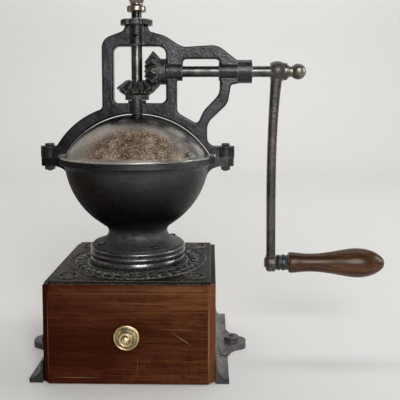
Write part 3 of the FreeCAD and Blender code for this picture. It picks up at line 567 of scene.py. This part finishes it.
hazed = both(tin, along(tin, "X", -0.085, -0.015, (0.0, 1.0), (1.0, 0.0)),
             ramp(tin, tin_blotch, (0.38, 1.0), (0.6, 0.3)))
lay(tin, hazed, 0.45, "Metallic")
dress(tin, "lid_rear", "lid_front")
dress(burr_steel, "lid_stud")


# Bridge: one open casting over the hopper, with an arch, two posts, a strut and both shafts' bearings.
# Black iron with a sand grain, its edges rubbed grey; its left end is painted darker as shade, and the
# oil hole of the top bearing is painted dark as shade.
# Square headed bolts and nuts, worn round, hold its feet to the hopper's lugs.
frame_iron = cast_iron("frame_iron", dark=(0.0025, 0.003, 0.0036), pale=(0.032, 0.036, 0.041),
                       patina=(0.018, 0.0145, 0.0115), worn=(0.26, 0.265, 0.27), rough=(0.18, 0.4),
                       patina_start=0.58, grain=0.4, wear=0.9)
# Painted shade: the left end is darkened and its gloss cut, as it faces away from the light.
shaded_left_end = along(frame_iron, "X", -0.105, -0.045, (0.0, 0.85), (0.4, 0.6), (1.0, 0.0))
lay(frame_iron, shaded_left_end, (0.0055, 0.0046, 0.004))
oil_hole_z, oil_hole_r, oil_rim_r = 0.35, 0.0017, 0.0026
# Painted shade: a black disc round the oil hole, with no gloss, stands for the dark inside the hole.
oil_hole_shade = around(frame_iron, (0, 0, oil_hole_z), (1, 0, 1), (oil_hole_r, 1.0), (oil_rim_r, 0.0))
lay(frame_iron, oil_hole_shade, (0.001, 0.001, 0.001))
paint(frame_iron, Specular_IOR_Level=ramp(frame_iron, oil_hole_shade, (0.0, 0.38), (1.0, 0.0)))
lay(frame_iron, shaded_left_end, 0.16, "Specular IOR Level")
dress(frame_iron, "bridge_frame")

bolt_iron = cast_iron("bolt_iron", dark=(0.007, 0.0068, 0.0066), pale=(0.034, 0.033, 0.032),
                      patina=(0.04, 0.026, 0.018), worn=(0.24, 0.23, 0.22), rough=(0.34, 0.55))
ear_x, shank_low = 0.0973, 0.203
shank_profile = [(0, 0), (0, 2.4), (0.6, 3.0), (27.4, 3.0)]
head_half, head_low, head_top, head_round = 0.0044, 0.2304, 0.2334, 0.0011
nut_half, nut_low, nut_top, nut_round = 0.0049, 0.2042, 0.2086, 0.001
bolts, nuts = bmesh.new(), bmesh.new()
for ear in (-ear_x, ear_x):
    head = block((ear - head_half, -head_half, head_low), (ear + head_half, head_half, head_top))
    soften(head, head_round)
    gather(bolts, head)
    gather(bolts, upright(shank_profile, ear, shank_low, steps=32))
    nut = block((ear - nut_half, -nut_half, nut_low), (ear + nut_half, nut_half, nut_top))
    soften(nut, nut_round)
    gather(nuts, nut)
keep("bridge_bolts_worn", bolts, bolt_iron, "mill", "dark_steel", "bridge_bolts")
keep("bridge_nuts_worn", nuts, bolt_iron, "mill", "dark_steel", "bridge_nuts")


# Bevel gears and the two shafts: dark cast gears with worn teeth, and turned steel shafts.
# The upright spindle is keyed to its gear and carries the cone burr below.
# Where it runs in the top bearing it is painted black as shade, seen only through the oil hole.
gear_iron = cast_iron("gear_iron", dark=(0.013, 0.0125, 0.012), pale=(0.045, 0.042, 0.039),
                      patina=(0.04, 0.028, 0.019), worn=(0.4, 0.37, 0.33), rough=(0.3, 0.5),
                      patina_start=0.55, wear=0.9)
dress(gear_iron, "spindle_gear", "drive_pinion")
shaft_steel = bright_metal("shaft_steel", dark=(0.06, 0.058, 0.056), pale=(0.17, 0.167, 0.16),
                           tarnish=(0.03, 0.022, 0.017), rough=(0.25, 0.42), tarnish_start=0.48)
# Painted shade on the spindle inside the top bearing.
bearing_shade = along(shaft_steel, "Z", 0.344, 0.356, (0.0, 0.0), (0.1, 1.0), (0.9, 1.0), (1.0, 0.0))
lay(shaft_steel, bearing_shade, (0.002, 0.002, 0.002))
dress(shaft_steel, "spindle", "crank_shaft")


# Adjusting wheel and finial at the top of the spindle: a lobed iron nut and a turned, nickelled knob.
# The spindle's cut thread shows between them.
dress(bolt_iron, "adjusting_wheel")
root_r, crest_r, thread_z, flank = 0.0052, 0.00585, 0.37, 0.0006
thread_turns, thread_pitch, steps_each = 4, 0.0014, 32
thread = bmesh.new()
crest = [thread.verts.new(spot) for spot in ((root_r, 0, thread_z - flank), (crest_r, 0, thread_z),
                                             (root_r, 0, thread_z + flank))]
thread.faces.new(crest)
bmesh.ops.spin(thread, geom=thread.verts[:] + thread.edges[:] + thread.faces[:], cent=(0, 0, 0),
               axis=(0, 0, 1), angle=math.radians(360 * thread_turns), steps=thread_turns * steps_each,
               dvec=(0, 0, thread_pitch / steps_each))
keep("spindle_thread", thread, shaft_steel, "spindle", "dark_steel")
nickel = bright_metal("old_nickel", dark=(0.15, 0.13, 0.1), pale=(0.33, 0.3, 0.25),
                      tarnish=(0.06, 0.04, 0.025), rough=(0.28, 0.44), tarnish_start=0.48)
dress(nickel, "finial")


# Crank: a forged arm on the square of the shaft, held by a washer and a ball nut.
# Brown black iron, uneven from the hammer and touched with rust; the nut is browned steel.
forged_iron = cast_iron("forged_iron", dark=(0.013, 0.0105, 0.0088), pale=(0.062, 0.051, 0.043),
                        patina=(0.075, 0.038, 0.021), worn=(0.36, 0.31, 0.26), rough=(0.2, 0.42),
                        patina_start=0.5, grain=0.7, wear=0.9, gloss=0.6)
dress(forged_iron, "crank_arm", "handle_pin")
brown_steel = bright_metal("brown_steel", dark=(0.1, 0.09, 0.075), pale=(0.24, 0.222, 0.19),
                           tarnish=(0.05, 0.032, 0.02), rough=(0.34, 0.52), tarnish_start=0.48)
dress(brown_steel, "crank_nut")
dress(shaft_steel, "crank_washer")


# Handle: a turned wooden grip that spins on the crank's pin behind an iron ferrule.
# Dark hardwood polished by the hand, warmer where the stain has worn thin.
dress(frame_iron, "handle_ferrule")
grip_wood = plank("grip_wood", dark=(0.025, 0.0105, 0.0046), middle=(0.09, 0.041, 0.0172),
                  pale=(0.158, 0.08, 0.034), gloss=0.3, coat=0.35, open_grain=0.3)
dress(grip_wood, "handle_grip")


# Studio: a pale painted floor that curves up into the backdrop, in soft window light.
# The main light stands behind the camera to the right, with a weaker one at the right side.
# A faint warm light comes from the left, and one more light washes the backdrop.
def drawn_out(shape, lines, way):
    # Draws edges out into faces and gives back the far edges.
    grown = bmesh.ops.extrude_edge_only(shape, edges=lines)["geom"]
    ends = [part for part in grown if isinstance(part, bmesh.types.BMVert)]
    bmesh.ops.translate(shape, verts=ends, vec=way)
    return [part for part in grown
            if isinstance(part, bmesh.types.BMEdge) and all(end in ends for end in part.verts)]


def window(name, spot, target, size, power, colour=(1, 1, 1)):
    lamp = bpy.data.lights.new(name, "AREA")
    lamp.shape = "RECTANGLE"
    lamp.size, lamp.size_y = size
    lamp.energy = power
    lamp.color = colour
    holder = bpy.data.objects.new(name, lamp)
    holder.location = spot
    holder.rotation_euler = (Vector(target) - Vector(spot)).to_track_quat("-Z", "Y").to_euler()
    bpy.context.scene.collection.objects.link(holder)


floor_half, bend_y, bend_r, backdrop_high = 9, 1.5, 0.6, 2.5
sweep = bmesh.new()
near = [sweep.verts.new((side, -floor_half, 0)) for side in (-floor_half, floor_half)]
sweep.edges.new(near)
far = drawn_out(sweep, sweep.edges[:], (0, floor_half + bend_y, 0))
bend = bmesh.ops.spin(sweep, geom=far + [end for line in far for end in line.verts],
                      cent=(0, bend_y, bend_r), axis=(1, 0, 0), angle=math.radians(90), steps=12)
bend_top = [part for part in bend["geom_last"] if isinstance(part, bmesh.types.BMEdge)]
drawn_out(sweep, bend_top, (0, 0, backdrop_high))
bmesh.ops.recalc_face_normals(sweep, faces=sweep.faces[:])
floor_mesh = bpy.data.meshes.new("studio_floor")
sweep.to_mesh(floor_mesh)
sweep.free()
floor_mesh.shade_smooth()
floor_paint = new_material("floor_paint")
paint(floor_paint, Base_Color=(0.72, 0.715, 0.7, 1), Roughness=0.75, Specular_IOR_Level=0.2)
floor_mesh.materials.append(floor_paint)
floor = bpy.data.objects.new("studio_floor", floor_mesh)
bpy.context.scene.collection.objects.link(floor)

window("front_window", spot=(0.42, -1.78, 0.95), target=(0, 0, 0.2), size=(0.9, 1.1), power=38,
       colour=(1.0, 0.995, 0.98))
window("side_window", spot=(1.9, 0.1, 0.8), target=(0, 0, 0.25), size=(0.8, 1.0), power=16,
       colour=(0.96, 0.98, 1.0))
window("left_wall", spot=(-1.9, -0.2, 0.9), target=(0, 0, 0.25), size=(1.0, 1.0), power=3,
       colour=(1.0, 0.8, 0.58))
window("backdrop_light", spot=(0, 0.9, 2.2), target=(0, 2.1, 0.7), size=(3.2, 1.2), power=34)
room = bpy.data.worlds.new("room")
room.use_nodes = True
room.node_tree.nodes["Background"].inputs["Color"].default_value = (0.97, 0.98, 1.0, 1)
room.node_tree.nodes["Background"].inputs["Strength"].default_value = 0.1
bpy.context.scene.world = room
bpy.context.scene.view_settings.view_transform = "Standard"


# Camera: just right of the mill's middle and level with its lid, tilted slightly down.
# A short telephoto lens, shifted so that the mill is framed as in the photograph.
tilt_down, swing_left = 4.24, 1
lens = bpy.data.cameras.new("camera")
lens.sensor_width = 36
lens.lens = 54
lens.shift_y = -0.14
camera = bpy.data.objects.new("camera", lens)
camera.location = (0.0806, -0.66, 0.2814)
camera.rotation_euler = (math.radians(90 - tilt_down), 0, math.radians(swing_left))
bpy.context.scene.collection.objects.link(camera)
bpy.context.scene.camera = camera
